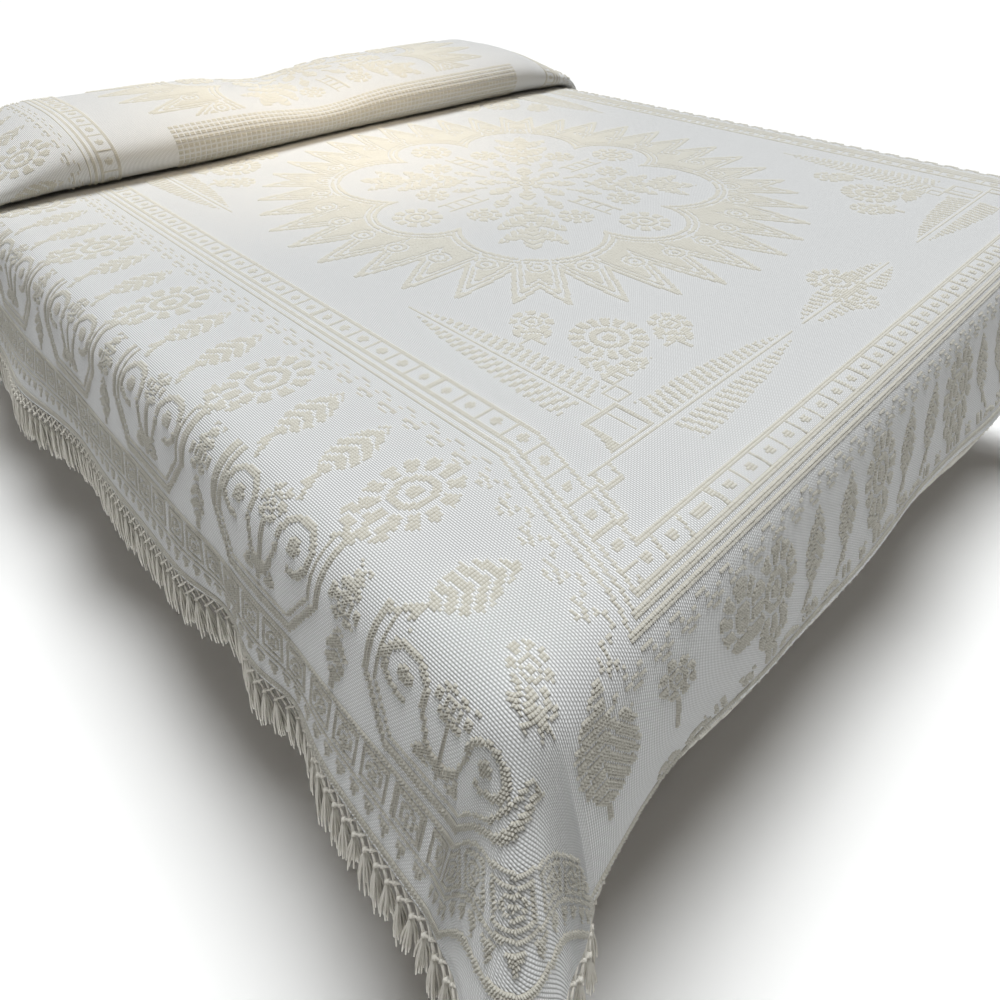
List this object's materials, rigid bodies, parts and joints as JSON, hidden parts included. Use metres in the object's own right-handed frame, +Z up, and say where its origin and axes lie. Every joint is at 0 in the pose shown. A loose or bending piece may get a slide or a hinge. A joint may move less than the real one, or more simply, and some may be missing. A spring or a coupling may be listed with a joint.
{
  "type": "chenille bedspread on a bed",
  "caption": "Fringed woven bedspread laid over a plain mattress, base and pillows, falling over both sides and the foot.",
  "frame": {"origin": "on the floor, at the middle of the bed base's underside", "axes": "+Z up, +Y from the foot of the bed to its head, +X to the right of someone standing at the foot and facing the head"},
  "size_m": [1.7788, 2.1489, 0.7182],
  "materials": {
    "woven_cotton": "matt ribbed cotton with a raised loop pile",
    "fringe_yarn": "matt cotton yarn",
    "ticking": "matt woven ticking",
    "base_cloth": "matt upholstery cloth",
    "pillow_case": "matt plain cotton"
  },
  "bodies": {
    "root": {"bedspread": "woven_cotton", "fringe_left": "fringe_yarn", "fringe_foot": "fringe_yarn", "fringe_right": "fringe_yarn", "mattress": "ticking", "bed_base": "base_cloth", "pillow_left": "pillow_case", "pillow_right": "pillow_case"}
  },
  "joints": []
}
